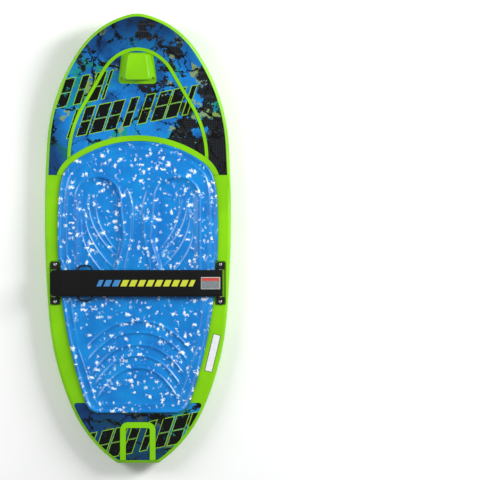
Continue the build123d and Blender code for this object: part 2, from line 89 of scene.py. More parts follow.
def finish(material, shader, color, height, bumpMm, roughness=None):
    # joins the colour, the fine relief and, if it varies, the roughness to the surface
    link = material.node_tree.links.new
    link(color, shader.inputs["Base Color"])
    bump = addNode(material, "Bump", {"Height": height, "Distance": bumpMm * mm, "Strength": 1.0})
    link(bump.outputs["Normal"], shader.inputs["Normal"])
    if roughness:
        link(roughness, shader.inputs["Roughness"])
    return material


def setMaterial(piece, material):
    piece.data.materials.clear()
    piece.data.materials.append(material)


def newPiece(name, vertices, faces, material, body):
    mesh = bpy.data.meshes.new(name)
    mesh.from_pydata([tuple(v) for v in vertices], [], faces)
    mesh.validate()
    mesh.update()
    mesh.polygons.foreach_set("use_smooth", [True] * len(mesh.polygons))
    piece = bpy.data.objects.new(name, mesh)
    bpy.context.scene.collection.objects.link(piece)
    setMaterial(piece, material)
    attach(piece, body)
    return piece


# moulded plastics and metals
shellLook = {
    "color": "#80CA02", "deep": "#72B800", "smooth": 0.32, "scuffed": 0.44, "peelMm": 1.6, "flowMm": 140,
}


def mouldedPolyethylene():
    # rotomoulded polyethylene: waxy even green, soft wide highlights and a faint orange-peel skin
    material, shader, place = newMaterial("mouldedPolyethylene", IOR=1.51, Specular_IOR_Level=0.26)
    flow = addNode(material, "TexNoise", {"Vector": place, "Scale": 1 / (shellLook["flowMm"] * mm)})
    color = addNode(material, "ValToRGB", {"Fac": flow.outputs["Fac"]},
                    ((0.35, shellLook["deep"]), (0.65, shellLook["color"])))
    scuffs = addNode(material, "TexNoise", {"Vector": place, "Scale": 1 / (9 * mm), "Detail": 6,
                                            "Distortion": 1.5})
    rough = addNode(material, "MapRange", {"Value": scuffs.outputs["Fac"], "From Min": 0.4, "From Max": 0.7,
                                           "To Min": shellLook["smooth"], "To Max": shellLook["scuffed"]})
    peel = addNode(material, "TexNoise", {"Vector": place, "Scale": 1 / (shellLook["peelMm"] * mm)})
    return finish(material, shader, color.outputs["Color"], peel.outputs["Fac"], 0.05,
                  rough.outputs["Result"])


def mouldedNylon():
    # glass-filled nylon: near black, slightly grainy, with a dull sheen on its edges
    material, shader, place = newMaterial("mouldedNylon", IOR=1.53, Specular_IOR_Level=0.35)
    grain = addNode(material, "TexNoise", {"Vector": place, "Scale": 1 / (0.9 * mm), "Detail": 4})
    color = addNode(material, "ValToRGB", {"Fac": grain.outputs["Fac"]},
                    ((0.3, "#050506"), (0.75, "#111214")))
    rough = addNode(material, "MapRange", {"Value": grain.outputs["Fac"], "To Min": 0.34, "To Max": 0.6})
    return finish(material, shader, color.outputs["Color"], grain.outputs["Fac"], 0.1,
                  rough.outputs["Result"])


def turnedMetal(name, bright, dark, smooth):
    # turned and tumbled metal: bright, with small wandering scratches
    material, shader, place = newMaterial(name, Metallic=1.0)
    scratches = addNode(material, "TexNoise", {"Vector": place, "Scale": 1 / (1.2 * mm), "Detail": 8,
                                               "Distortion": 2})
    color = addNode(material, "ValToRGB", {"Fac": scratches.outputs["Fac"]}, ((0.3, dark), (0.7, bright)))
    rough = addNode(material, "MapRange", {"Value": scratches.outputs["Fac"], "To Min": smooth,
                                           "To Max": smooth + 0.15})
    return finish(material, shader, color.outputs["Color"], scratches.outputs["Fac"], 0.03,
                  rough.outputs["Result"])


def pouredFoam():
    # poured polyurethane foam: pale, matt and full of small cells
    material, shader, place = newMaterial("pouredFoam", Roughness=0.95, IOR=1.45)
    cells = addNode(material, "TexVoronoi", {"Vector": place, "Scale": 1 / (1.5 * mm)})
    color = addNode(material, "ValToRGB", {"Fac": cells.outputs["Distance"]},
                    ((0.1, "#C9BB86"), (0.6, "#EADFB4")))
    return finish(material, shader, color.outputs["Color"], cells.outputs["Distance"], 0.4)


# knee pad foam
padLook = {
    "blue": "#0083D0", "deep": "#0070C0", "fleck": "#EAF6FD", "poreMm": 0.8,
    # layers of chips: size in mm, share of the cells that hold one, stretch along X and Y
    "chips": ((15, 0.22, 0.6, 1.4), (14, 0.19, 1.45, 0.62), (7, 0.22, 1.1, 0.8)),
}


def pressedEva():
    # pressed EVA foam: satin blue with chips of white foam pressed in, and fine closed pores
    material, shader, place = newMaterial("pressedEva", IOR=1.49, Roughness=0.24, Specular_IOR_Level=0.5)
    flat = addNode(material, "VectorMath", {0: place, 1: (1, 1, 0)}, operation="MULTIPLY")
    wander = addNode(material, "TexNoise", {"Vector": flat.outputs[0], "Scale": 1 / (6 * mm), "Detail": 5,
                                            "Roughness": 0.8})
    torn = addNode(material, "VectorMath", {0: wander.outputs["Color"], 1: (0.03, 0.03, 0),
                                            2: flat.outputs[0]},
                   operation="MULTIPLY_ADD")
    clump = addNode(material, "TexNoise", {"Vector": flat.outputs[0], "Scale": 1 / (60 * mm), "Detail": 1})
    thick = addNode(material, "MapRange", {"Value": clump.outputs["Fac"], "From Min": 0.35, "From Max": 0.65,
                                           "To Min": 0.65, "To Max": 1.35})
    flecks = None
    for size, share, stretchX, stretchY in padLook["chips"]:
        moved = addNode(material, "Mapping", {"Vector": torn.outputs[0], "Location": (share, size * mm, 0),
                                              "Rotation": (0, 0, size), "Scale": (stretchX, stretchY, 1)})
        chips = addNode(material, "TexVoronoi", {"Vector": moved.outputs["Vector"], "Scale": 1 / (size * mm)},
                        distance="MANHATTAN")
        pick = addNode(material, "SeparateColor", {"Color": chips.outputs["Color"]})
        quota = addNode(material, "Math", {0: thick.outputs["Result"], 1: share}, operation="MULTIPLY")
        chosen = addNode(material, "Math", {0: pick.outputs["Red"], 1: quota.outputs[0]},
                         operation="LESS_THAN")
        close = addNode(material, "Math", {0: chips.outputs["Distance"], 1: 0.4}, operation="LESS_THAN")
        both = addNode(material, "Math", {0: chosen.outputs[0], 1: close.outputs[0]}, operation="MULTIPLY")
        flecks = both if flecks is None else addNode(material, "Math",
                                                     {0: flecks.outputs[0], 1: both.outputs[0]},
                                                     operation="MAXIMUM")
    mottle = addNode(material, "TexNoise", {"Vector": place, "Scale": 1 / (45 * mm), "Detail": 4})
    blue = addNode(material, "ValToRGB", {"Fac": mottle.outputs["Fac"]},
                   ((0.35, padLook["deep"]), (0.65, padLook["blue"])))
    color = addNode(material, "Mix", {0: flecks.outputs[0], 6: blue.outputs["Color"], 7: padLook["fleck"]},
                    data_type="RGBA")
    pores = addNode(material, "TexNoise", {"Vector": place, "Scale": 1 / (padLook["poreMm"] * mm),
                                           "Detail": 3})
    return finish(material, shader, color.outputs[2], pores.outputs["Fac"], 0.1)


# printed film
filmLook = {
    "navy": "#0A2C5E", "blue": "#0F66B0", "sky": "#1480CC", "teal": "#108A78", "olive": "#8A9C1C",
    "ink": "#030405", "crackMm": 78, "barPitchMm": 40, "meshMm": 5, "barTurn": 0.2, "barLean": -0.34,
    # rows of bars: low and high edge along Y on the centre line, left and right end
    "barRows": ((0.327, 0.402, -0.172, 0.145), (0.418, 0.492, -0.215, -0.075), (-0.600, -0.523, -0.15, 0.17)),
}


def mouldedInFilm():
    # printed film moulded into the deck: weathered blue and teal ink, black cracks, bold worn bars,
    # clear gloss
    material, shader, place = newMaterial("mouldedInFilm", IOR=1.5, Roughness=0.25, Specular_IOR_Level=0.3)
    axes = addNode(material, "SeparateXYZ", {"Vector": place})
    x, y = axes.outputs["X"], axes.outputs["Y"]
    wash = addNode(material, "TexNoise", {"Vector": place, "Scale": 1 / (170 * mm), "Detail": 4,
                                          "Roughness": 0.6,
                                          "Distortion": 0.6})
    ink = addNode(material, "ValToRGB", {"Fac": wash.outputs["Fac"]}, (
        (0.33, filmLook["navy"]), (0.43, filmLook["blue"]), (0.52, filmLook["sky"]), (0.58, filmLook["teal"]),
        (0.68, filmLook["blue"])))
    # sun-bleached yellow patches, mostly towards the right
    sun = addNode(material, "TexNoise", {"Vector": place, "Scale": 1 / (75 * mm), "Detail": 5,
                                         "Roughness": 0.65})
    sunEdge = addNode(material, "MapRange", {"Value": x, "From Min": -0.2, "From Max": 0.2, "To Min": 0.63,
                                             "To Max": 0.54})
    sunMask = addNode(material, "Math", {0: sun.outputs["Fac"], 1: sunEdge.outputs["Result"]},
                      operation="GREATER_THAN")
    sunSoft = addNode(material, "Math", {0: sunMask.outputs[0], 1: 0.7}, operation="MULTIPLY")
    ink = addNode(material, "Mix", {0: sunSoft.outputs[0], 6: ink.outputs["Color"], 7: filmLook["olive"]},
                  data_type="RGBA")
    # navy towards the nose tip and the rider's left
    for direction, start, end, tint in (((0, 1, 0), 0.47, 0.61, "#051430"),
                                        ((-1, -0.35, 0), 0.085, 0.15, "#08204A")):
        toward = addNode(material, "VectorMath", {0: place, 1: direction}, operation="DOT_PRODUCT")
        ragged = addNode(material, "Math", {0: wash.outputs["Fac"], 1: 0.09, 2: toward.outputs["Value"]},
                         operation="MULTIPLY_ADD")
        fade = addNode(material, "MapRange", {"Value": ragged.outputs[0], "From Min": start + 0.045,
                                              "From Max": end + 0.045, "To Max": 0.85})
        ink = addNode(material, "Mix", {0: fade.outputs["Result"], 6: ink.outputs[2], 7: tint},
                      data_type="RGBA")
    # a black woven-mesh print over worn patches and across the lower right corner
    worn = addNode(material, "TexNoise", {"Vector": place, "Scale": 1 / (90 * mm), "Detail": 7,
                                          "Roughness": 0.7})
    outward = addNode(material, "VectorMath", {0: place, 1: (1.0, 0.28, 0)}, operation="DOT_PRODUCT")
    wornEdge = addNode(material, "MapRange", {"Value": outward.outputs["Value"], "From Min": 0.05,
                                              "From Max": 0.33,
                                              "To Min": 0.62, "To Max": 0.46})
    patches = addNode(material, "Math", {0: worn.outputs["Fac"], 1: wornEdge.outputs["Result"]},
                      operation="GREATER_THAN")
    slope = addNode(material, "Math", {0: x, 1: -0.24, 2: y}, operation="MULTIPLY_ADD")
    lowBand = addNode(material, "Math", {0: slope.outputs[0], 1: 0.232}, operation="LESS_THAN")
    upBand = addNode(material, "Math", {0: slope.outputs[0], 1: 0.0}, operation="GREATER_THAN")
    rightHalf = addNode(material, "Math", {0: x, 1: -0.005}, operation="GREATER_THAN")
    corner = addNode(material, "Math", {0: lowBand.outputs[0], 1: upBand.outputs[0]}, operation="MULTIPLY")
    corner = addNode(material, "Math", {0: corner.outputs[0], 1: rightHalf.outputs[0]}, operation="MULTIPLY")
    dark = addNode(material, "Math", {0: patches.outputs[0], 1: corner.outputs[0]}, operation="MAXIMUM")
    meshPrint = addNode(material, "TexVoronoi", {"Vector": place, "Scale": 1 / (filmLook["meshMm"] * mm),
                                                 "Randomness": 0.15}, feature="DISTANCE_TO_EDGE")
    meshInk = addNode(material, "ValToRGB", {"Fac": meshPrint.outputs["Distance"]},
                      ((0.06, "#262B30"), (0.16, filmLook["ink"])))
    ink = addNode(material, "Mix", {0: dark.outputs[0], 6: ink.outputs[2], 7: meshInk.outputs["Color"]},
                  data_type="RGBA")
    # branching black cracks
    wander = addNode(material, "TexNoise", {"Vector": place, "Scale": 1 / (34 * mm), "Detail": 8,
                                            "Roughness": 0.7})
    bent = addNode(material, "VectorMath", {0: wander.outputs["Color"], 1: (0.07, 0.07, 0), 2: place},
                   operation="MULTIPLY_ADD")
    cells = addNode(material, "TexVoronoi", {"Vector": bent.outputs[0],
                                             "Scale": 1 / (filmLook["crackMm"] * mm)},
                    feature="DISTANCE_TO_EDGE")
    crackWidth = addNode(material, "MapRange", {"Value": sun.outputs["Fac"], "From Min": 0.4, "From Max": 0.6,
                                                "To Min": 0.004, "To Max": 0.045})
    cracks = addNode(material, "Math", {0: cells.outputs["Distance"], 1: crackWidth.outputs["Result"]},
                     operation="LESS_THAN")
    ink = addNode(material, "Mix", {0: cracks.outputs[0], 6: ink.outputs[2], 7: filmLook["ink"]},
                  data_type="RGBA")
    # rows of plain slanted bars of several widths, with a stencil gap, a lime edge and worn ink
    chip = addNode(material, "TexNoise", {"Vector": place, "Scale": 1 / (6 * mm), "Detail": 5})
    leaned = addNode(material, "Math", {0: y, 1: filmLook["barLean"], 2: x}, operation="MULTIPLY_ADD")
    rough = addNode(material, "Math", {0: chip.outputs["Fac"], 1: 0.003, 2: leaned.outputs[0]},
                    operation="MULTIPLY_ADD")
    wobble = addNode(material, "Math", {0: rough.outputs[0], 1: 37.0}, operation="MULTIPLY")
    wave = addNode(material, "Math", {0: wobble.outputs[0]}, operation="SINE")
    phase = addNode(material, "Math", {0: rough.outputs[0], 1: filmLook["barPitchMm"] * mm / 2},
                    operation="PINGPONG")
    barWidth = addNode(material, "Math", {0: wave.outputs[0], 1: 0.004, 2: 0.0075}, operation="MULTIPLY_ADD")
    climb = addNode(material, "Math", {0: x, 1: -filmLook["barTurn"], 2: y}, operation="MULTIPLY_ADD")
    climb = addNode(material, "Math", {0: chip.outputs["Fac"], 1: 0.003, 2: climb.outputs[0]},
                    operation="MULTIPLY_ADD")
    fleck = addNode(material, "TexNoise", {"Vector": place, "Scale": 1 / (16 * mm), "Detail": 9,
                                           "Roughness": 0.75})
    keep = addNode(material, "Math", {0: fleck.outputs["Fac"], 1: 0.40}, operation="GREATER_THAN")
    for margin, tint in ((0.0022, "#7FB81C"), (0.0, filmLook["ink"])):
        edge = addNode(material, "Math", {0: barWidth.outputs[0], 1: -margin})
        bar = addNode(material, "Math", {0: phase.outputs[0], 1: edge.outputs[0]}, operation="GREATER_THAN")
        rows = None
        for low, high, left, right in filmLook["barRows"]:
            middle = (low + high) / 2
            reach = addNode(material, "Math", {0: climb.outputs[0], 1: middle}, operation="SUBTRACT")
            reach = addNode(material, "Math", {0: reach.outputs[0]}, operation="ABSOLUTE")
            within = addNode(material, "Math", {0: reach.outputs[0], 1: (high - low) / 2 + margin},
                             operation="LESS_THAN")
            gap = addNode(material, "Math", {0: reach.outputs[0], 1: 0.0016 - margin / 2},
                          operation="GREATER_THAN")
            side = addNode(material, "Math", {0: rough.outputs[0],
                                              1: (left + right) / 2 + filmLook["barLean"] * middle},
                           operation="SUBTRACT")
            side = addNode(material, "Math", {0: side.outputs[0]}, operation="ABSOLUTE")
            side = addNode(material, "Math", {0: side.outputs[0], 1: (right - left) / 2 + margin},
                           operation="LESS_THAN")
            row = addNode(material, "Math", {0: within.outputs[0], 1: gap.outputs[0]}, operation="MULTIPLY")
            row = addNode(material, "Math", {0: row.outputs[0], 1: side.outputs[0]}, operation="MULTIPLY")
            rows = row if rows is None else addNode(material, "Math", {0: rows.outputs[0], 1: row.outputs[0]},
                                                    operation="MAXIMUM")
        mask = addNode(material, "Math", {0: bar.outputs[0], 1: rows.outputs[0]}, operation="MULTIPLY")
        mask = addNode(material, "Math", {0: mask.outputs[0], 1: keep.outputs[0]}, operation="MULTIPLY")
        ink = addNode(material, "Mix", {0: mask.outputs[0], 6: ink.outputs[2], 7: tint}, data_type="RGBA")
    skin = addNode(material, "TexNoise", {"Vector": place, "Scale": 1 / (2.2 * mm)})
    return finish(material, shader, ink.outputs[2], skin.outputs["Fac"], 0.03)


def silveredVinyl():
    # a blank silvered vinyl sticker with a thin printed border
    material, shader, place = newMaterial("silveredVinyl", IOR=1.5, Roughness=0.25, Coat_Weight=0.4,
                                          Coat_Roughness=0.08)
    low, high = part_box("side_label")
    turned = addNode(material, "Mapping", {"Vector": place, "Location": ((low[0] + high[0]) / 2,
                                                                         (low[1] + high[1]) / 2, 0),
                                           "Rotation": (0, 0, math.radians(-13.5))}, vector_type="TEXTURE")
    axes = addNode(material, "SeparateXYZ", {"Vector": turned.outputs["Vector"]})
    across = addNode(material, "Math", {0: axes.outputs["X"]}, operation="ABSOLUTE")
    along = addNode(material, "Math", {0: axes.outputs["Y"]}, operation="ABSOLUTE")
    across = addNode(material, "Math", {0: across.outputs[0], 1: 0.0095}, operation="GREATER_THAN")
    along = addNode(material, "Math", {0: along.outputs[0], 1: 0.0525}, operation="GREATER_THAN")
    border = addNode(material, "Math", {0: across.outputs[0], 1: along.outputs[0]}, operation="MAXIMUM")
    cloud = addNode(material, "TexNoise", {"Vector": place, "Scale": 1 / (4 * mm), "Detail": 4})
    paper = addNode(material, "ValToRGB", {"Fac": cloud.outputs["Fac"]}, ((0.3, "#CFD3D8"), (0.7, "#EEF0F2")))
    color = addNode(material, "Mix", {0: border.outputs[0], 6: paper.outputs["Color"], 7: "#2E3A20"},
                    data_type="RGBA")
    return finish(material, shader, color.outputs[2], cloud.outputs["Fac"], 0.02)


# woven goods
def wovenYarn(name, dark, light, ribMm, roughness):
    # dyed yarn, plain weave: dark and matt with an even rib, drawn about twice as coarse as real so it shows
    material, shader, place = newMaterial(name, IOR=1.53, Roughness=roughness, Specular_IOR_Level=0.15)
    warp = addNode(material, "TexWave", {"Vector": place, "Scale": 0.314 / (ribMm * mm), "Distortion": 0.15},
                   bands_direction="X")
    weft = addNode(material, "TexWave", {"Vector": place, "Scale": 0.262 / (ribMm * mm), "Distortion": 0.15},
                   bands_direction="Y")
    yarns = addNode(material, "Math", {0: warp.outputs["Fac"], 1: weft.outputs["Fac"]}, operation="MULTIPLY")
    fuzz = addNode(material, "TexNoise", {"Vector": place, "Scale": 1 / (2.5 * mm), "Detail": 5})
    blend = addNode(material, "Math", {0: fuzz.outputs["Fac"], 1: yarns.outputs[0]})
    color = addNode(material, "ValToRGB", {"Fac": blend.outputs[0]}, ((0.35, dark), (0.95, light)))
    return material, shader, place, color.outputs["Color"], yarns.outputs[0]


def plainYarn(name, dark, light, ribMm, roughness):
    material, shader, place, color, yarns = wovenYarn(name, dark, light, ribMm, roughness)
    return finish(material, shader, color, yarns, 0.2)


coverLook = {"markLowX": -0.112, "markHighX": 0.160, "markHalfMm": 9, "markPitchMm": 24, "blueEndX": -0.052}


def printedCoverCloth():
    # woven polyester with a screen-printed row of plain slanted bars, blue then yellow
    material, shader, place, color, yarns = wovenYarn("printedCoverCloth", "#020203", "#0A0B0B", 2.2, 0.7)
    axes = addNode(material, "SeparateXYZ", {"Vector": place})
    height = addNode(material, "Math", {0: axes.outputs["Y"], 1: coverY}, operation="SUBTRACT")
    level = addNode(material, "Math", {0: height.outputs[0]}, operation="ABSOLUTE")
    level = addNode(material, "Math", {0: level.outputs[0], 1: coverLook["markHalfMm"] * mm},
                    operation="LESS_THAN")
    leaned = addNode(material, "Math", {0: height.outputs[0], 1: -0.45, 2: axes.outputs["X"]},
                     operation="MULTIPLY_ADD")
    phase = addNode(material, "Math", {0: leaned.outputs[0], 1: coverLook["markPitchMm"] * mm / 2},
                    operation="PINGPONG")
    bar = addNode(material, "Math", {0: phase.outputs[0], 1: 0.0035}, operation="GREATER_THAN")
    after = addNode(material, "Math", {0: leaned.outputs[0], 1: coverLook["markLowX"]},
                    operation="GREATER_THAN")
    before = addNode(material, "Math", {0: leaned.outputs[0], 1: coverLook["markHighX"]},
                     operation="LESS_THAN")
    mask = level
    for other in (bar, after, before):
        mask = addNode(material, "Math", {0: mask.outputs[0], 1: other.outputs[0]}, operation="MULTIPLY")
    yellow = addNode(material, "Math", {0: leaned.outputs[0], 1: coverLook["blueEndX"]},
                     operation="GREATER_THAN")
    tint = addNode(material, "Mix", {0: yellow.outputs[0], 6: "#3C7FBE", 7: "#C3C93A"}, data_type="RGBA")
    color = addNode(material, "Mix", {0: mask.outputs[0], 6: color, 7: tint.outputs[2]}, data_type="RGBA")
    return finish(material, shader, color.outputs[2], yarns, 0.2)


def wovenSatin():
    # woven satin label: pale border, a red band above a grey field
    material, shader, place = newMaterial("wovenSatin", IOR=1.5, Roughness=0.55, Sheen_Weight=0.15)
    low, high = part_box("strap_label")
    axes = addNode(material, "SeparateXYZ", {"Vector": place})
    level = addNode(material, "Math", {0: axes.outputs["Y"], 1: (low[1] + high[1]) / 2}, operation="SUBTRACT")
    red = addNode(material, "Math", {0: axes.outputs["Y"], 1: high[1] - 0.0105}, operation="GREATER_THAN")
    level = addNode(material, "Math", {0: level.outputs[0]}, operation="ABSOLUTE")
    level = addNode(material, "Math", {0: level.outputs[0], 1: (high[1] - low[1]) / 2 - 0.0015},
                    operation="GREATER_THAN")
    side = addNode(material, "Math", {0: axes.outputs["X"], 1: (low[0] + high[0]) / 2}, operation="SUBTRACT")
    side = addNode(material, "Math", {0: side.outputs[0]}, operation="ABSOLUTE")
    side = addNode(material, "Math", {0: side.outputs[0], 1: (high[0] - low[0]) / 2 - 0.0015},
                   operation="GREATER_THAN")
    border = addNode(material, "Math", {0: level.outputs[0], 1: side.outputs[0]}, operation="MAXIMUM")
    thread = addNode(material, "TexNoise", {"Vector": place, "Scale": 1 / (1.6 * mm), "Detail": 3})
    field = addNode(material, "ValToRGB", {"Fac": thread.outputs["Fac"]},
                    ((0.35, "#53595D"), (0.65, "#858B8F")))
    color = addNode(material, "Mix", {0: red.outputs[0], 6: field.outputs["Color"], 7: "#B5342B"},
                    data_type="RGBA")
    color = addNode(material, "Mix", {0: border.outputs[0], 6: color.outputs[2], 7: "#B9C2C0"},
                    data_type="RGBA")
    return finish(material, shader, color.outputs[2], thread.outputs["Fac"], 0.1)


def placeOf(jointName):
    return next(j for j in frame["joints"] if j["name"] == jointName)["pos_m"]


rightPin, leftPin = placeOf("strap_swing"), placeOf("tab_swing")
ringBar, lockBar = placeOf("ring_swing"), placeOf("lock_swing")
coverY = rightPin[1]
shellPlastic = mouldedPolyethylene()
nylonPlastic = mouldedNylon()
stainless = turnedMetal("passivatedStainless", "#EDEEF0", "#C3C6CA", 0.16)
brass = turnedMetal("turnedBrass", "#D9B266", "#A8813C", 0.25)
foamInside = pouredFoam()
padFoam = pressedEva()
film = mouldedInFilm()
sticker = silveredVinyl()
coverCloth = printedCoverCloth()
webbingYarn = plainYarn("wovenNylonWebbing", "#030304", "#0E0F10", 1.8, 0.68)
neopreneFace = plainYarn("nylonFacedNeoprene", "#08080A", "#161618", 1.4, 0.8)
hookTape = plainYarn("mouldedHookTape", "#0A0A0B", "#242426", 1.6, 0.8)
loopTape = plainYarn("brushedLoopTape", "#0C0C0D", "#2C2C2F", 2.4, 0.9)
labelWeave = wovenSatin()

nodeMaterials = {
    "board_shell": shellPlastic, "foam_core": foamInside, "foam_fill_plugs": nylonPlastic,
    "nose_rim_film": film, "nose_center_film": film, "tail_film": film, "tail_grip_film": film,
    "side_label": sticker, "strap_ring": nylonPlastic, "flap_hook_patch": hookTape,
                 "lock_loop_patch": loopTape,
}
for side in ("left", "right"):
    nodeMaterials[side + "_anchor_feet"] = nylonPlastic
    nodeMaterials[side + "_anchor_pin"] = stainless
    nodeMaterials[side + "_anchor_screws"] = stainless
    nodeMaterials[side + "_anchor_inserts"] = brass
for nodeName, material in nodeMaterials.items():
    setMaterial(frame["nodes"][nodeName], material)
print("materials made")


# knee pad
pad = {
    "rowMm": 1.9, "columns": 236, "edgeRoundMm": 5.0, "faceDropMm": 3.0,
    "borderMm": 23, "beadMm": 2.1, "wellOuterX": 175, "wellTopY": 177, "wellDepthMm": 8.5,
    "wellInner": ((-240, 100), (-174, 84), (-100, 62), (-60, 53), (-10, 38), (40, 43), (100, 49), (200, 50)),
    "spine": ((-240, 46), (-77, 34), (-31, 24), (0, 18), (60, 15), (100, 17), (135, 28), (200, 30)),
    "leafRibs": ((121, 97), (141, 100), (150, 68), (161, 36)),  # (distance from the middle, top of the rib)
    "arches": ((-233, 141, 72), (-265, 137, 75), (-300, 127, 80), (-331, 117, 79), (-365, 111, 84)),
}


def smoothStep(low, high, value):
    share = np.clip((value - low) / (high - low), 0, 1)
    return share * share * (3 - 2 * share)


def alongPath(table, y):
    # a smooth curve through a short table of (y, value)
    at = np.array([row[0] for row in table], float)
    values = np.array([row[1] for row in table], float)
    near = np.interp(y, at, values)
    return (near + np.interp(y - 14, at, values) + np.interp(y + 14, at, values)) / 3


def bead(distance, widthMm):
    return np.exp(-(distance / widthMm) ** 2)


def padDepth(x, y, edge):
    # how far the pad's face lies below its top, in mm
    ax = np.abs(x)
    depth = pad["faceDropMm"] * smoothStep(3, 12, edge)
    flank = 0.35 + 0.65 * smoothStep(215, 150, y) * smoothStep(-330, -190, y)
    raisedLines = 2.8 * flank * bead(edge - pad["borderMm"], 3.6)
    # knee wells: a round front, a bulging inner side, deepest beside the spine
    inner = alongPath(pad["wellInner"], y)
    centre = (pad["wellOuterX"] + inner) / 2
    half = (pad["wellOuterX"] - inner) / 2
    capY = pad["wellTopY"] - 63
    away = np.where(y > capY, np.hypot(ax - centre, y - capY), np.abs(ax - centre))
    inside = half - away
    lengthwise = smoothStep(-215, -70, y)
    run = np.where(ax < centre, 13, 21)
    bowl = smoothStep(0, 1, inside / run)
    lean = 0.55 + 0.45 * smoothStep(150, 70, ax)
    depth = depth + pad["wellDepthMm"] * bowl * lengthwise * lean
    rimFade = smoothStep(-225, -150, y)
    raisedLines = np.maximum(raisedLines, 2.6 * rimFade * bead(inside, 3.2))
    # leaf ribs that sweep across the wells towards the spine
    for reach, top in pad["leafRibs"]:
        ribX = reach - 0.0035 * np.clip(top - y, 0, None) ** 2
        lean = 1 / np.sqrt(1 + (0.007 * np.clip(top - y, 0, None)) ** 2)
        rib = bead((ax - ribX) * lean, pad["beadMm"]) * smoothStep(2, 12,
                                                                   inside) * smoothStep(top + 28, top, y)
        leaf = smoothStep(0, 9, (ribX - ax) * lean) * smoothStep(26, 9, (ribX - ax) * lean)
        depth = depth - lengthwise * (2.2 * rib - 0.7 * leaf * smoothStep(2, 12, inside))
    # hourglass spine between two thin beads
    spineX = alongPath(pad["spine"], y)
    spineFade = smoothStep(150, 120, y) * smoothStep(-235, -120, y)
    raisedLines = np.maximum(raisedLines, 2.3 * spineFade * bead(ax - spineX, pad["beadMm"]))
    depth = depth + 1.1 * spineFade * smoothStep(0, 8, spineX - ax)
    # nested arches behind the strap, with hollows between
    field = 1.8 * smoothStep(-205, -250, y) * smoothStep(165, 140, ax) * smoothStep(4, 16, edge)
    field = field * smoothStep(-480, -455, y)
    depth = depth + field
    for crown, reach, drop in pad["arches"]:
        line = crown - drop * (ax / reach) ** 2.3
        tilt = 1 / np.sqrt(1 + (2.3 * drop / reach * (ax / reach) ** 1.3) ** 2)
        ends = smoothStep(reach + 5, reach - 5, ax)
        gap = (y - line) * tilt
        depth = depth - 2.9 * ends * bead(gap, 2.7)
        depth = depth + 1.2 * ends * smoothStep(0, -9, gap) * smoothStep(-26, -10, gap)
    # long side ridges that close in towards the tail
    sideX = 157 + (y + 348) * 0.33
    ridge = bead(ax - sideX, 3.0) * smoothStep(-476, -452, y) * smoothStep(-235, -330, y)
    raisedLines = np.maximum(raisedLines, 2.5 * ridge)
    return np.clip(depth - raisedLines, 0, 14)


def makeKneePad():
    low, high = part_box("knee_pad")
    node = frame["nodes"]["knee_pad"].data
    tree = BVHTree.FromPolygons([v.co for v in node.vertices], [tuple(p.vertices) for p in node.polygons])
    inset = 0.0005
    count = int((high[1] - low[1]) / (pad["rowMm"] * mm))
    share = np.concatenate([np.linspace(0, 0.012, 12)[:-1], np.linspace(0.012, 0.97, count)[:-1],
                            1 - 0.03 * np.linspace(1, 0, 34) ** 1.8])
    rows = low[1] + inset + (high[1] - low[1] - 2 * inset) * share
    hits = [tree.ray_cast(Vector((1, y, low[2] + 0.004)), Vector((-1, 0, 0)))[0] for y in rows]
    widths = np.array([hit.x if hit else 0.0 for hit in hits])
    # close points along the outline, to measure how far each vertex is from the edge
    outline = np.concatenate([np.stack([widths, rows], 1), np.stack([-widths[::-1], rows[::-1]], 1)])
    closed = np.vstack([outline, outline[:1]])
    border = np.array([a + (b - a) * t for a, b in zip(closed[:-1], closed[1:])
                       for t in np.linspace(0, 1, max(2, int(np.hypot(*(b - a)) / 0.002)), endpoint=False)])
    even = np.linspace(-1, 1, pad["columns"] + 1)
    u = 0.6 * even + 0.4 * np.sin(even * math.pi / 2)  # columns close up towards the sides
    x = widths[:, None] * u[None, :]
    y = np.repeat(rows[:, None], len(u), axis=1)
    edge = np.empty_like(x)
    for j, station in enumerate(rows):
        near = border[np.abs(border[:, 1] - station) < 0.045]
        edge[j] = np.hypot(x[j][:, None] - near[:, 0], station - near[:, 1]).min(axis=1)
    edge = edge * 1000
    radius = pad["edgeRoundMm"]
    roundOver = radius - np.sqrt(radius ** 2 - np.clip(radius - edge, 0, radius) ** 2)
    z = np.maximum(high[2] - (roundOver + padDepth(x * 1000, y * 1000, edge)) * mm, low[2] + 0.003)
    tall, wide = x.shape
    vertices = np.stack([x, y, z], 2).reshape(-1, 3).tolist()
    faces = [(j * wide + i, j * wide + i + 1, (j + 1) * wide + i + 1, (j + 1) * wide + i)
             for j in range(tall - 1) for i in range(wide - 1)]
    # the wall down to the recess floor, and a flat underside
    ring = list(range(wide)) + [j * wide + wide - 1 for j in range(1, tall)]
    ring += [(tall - 1) * wide + i for i in range(wide - 2, -1,
                                                  -1)] + [j * wide for j in range(tall - 2, 0, -1)]
    start, n = len(vertices), len(ring)
    vertices += [[vertices[k][0], vertices[k][1], low[2]] for k in ring]
    faces += [(ring[k], start + k, start + (k + 1) % n, ring[(k + 1) % n]) for k in range(n)]
    faces.append(tuple(start + k for k in range(n))[::-1])
    piece = newPiece("kneePad", vertices, faces, padFoam, "board")
    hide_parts("knee_pad")


makeKneePad()
print("knee pad made")


